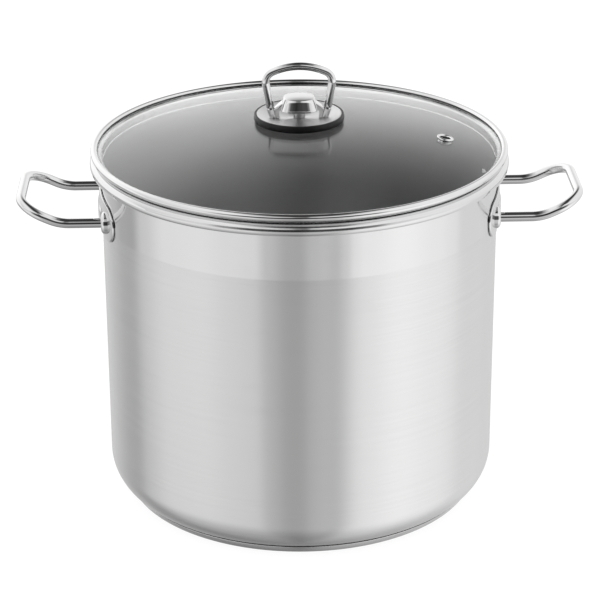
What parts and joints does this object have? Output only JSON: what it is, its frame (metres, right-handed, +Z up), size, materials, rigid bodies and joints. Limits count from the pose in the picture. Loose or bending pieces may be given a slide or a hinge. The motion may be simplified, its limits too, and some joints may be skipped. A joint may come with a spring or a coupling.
{
  "type": "stock pot",
  "caption": "Tall stainless steel stock pot with a flat capsule base, two raised rod side handles, and a domed glass lid with a steel band, vent eyelet and rod-loop knob.",
  "frame": {"origin": "centre of the base's underside, which rests on the hob or shelf", "axes": "+Z up along the pot's axis, the two side handles along X, Y from front to back"},
  "size_m": [0.4004, 0.2966, 0.3186],
  "materials": {
    "shell": "fine brushed wall with a mirror-polished collar under the rim",
    "base_steel": "turned and brushed",
    "core": "plain, enclosed",
    "rod": "mirror-polished stainless rod",
    "plate": "polished pressing",
    "lid_glass": "clear tempered glass",
    "band": "polished rolled band",
    "gasket": "black heat-resistant ring, satin",
    "knob_metal": "mirror-polished",
    "fastener": "plain stainless",
    "silicone": "translucent white silicone"
  },
  "bodies": {
    "pot": {"pot_shell": "shell", "base_core": "core", "base_cap": "base_steel", "handle_left": "rod", "handle_right": "rod", "handle_plate_left": "plate", "handle_plate_right": "plate", "leg_collar_left_front": "rod", "leg_collar_left_rear": "rod", "leg_collar_right_front": "rod", "leg_collar_right_rear": "rod"},
    "lid": {"lid_glass": "lid_glass", "lid_band": "band", "vent_eyelet": "band", "silicone_washer": "silicone"},
    "knob": {"knob_gasket": "gasket", "knob_disc": "knob_metal", "knob_bridge": "knob_metal", "knob_loop": "knob_metal", "knob_screw": "fastener", "steel_washer": "fastener"}
  },
  "joints": [
    {"name": "lid_lift", "type": "slide", "parent": "pot", "child": "lid", "axis": [0, 0, 1], "range_m": [0, 0.25]},
    {"name": "knob_turn", "type": "hinge", "parent": "lid", "child": "knob", "pos_m": [0, 0, 0.2773], "axis": [0, 0, 1], "continuous": true}
  ]
}
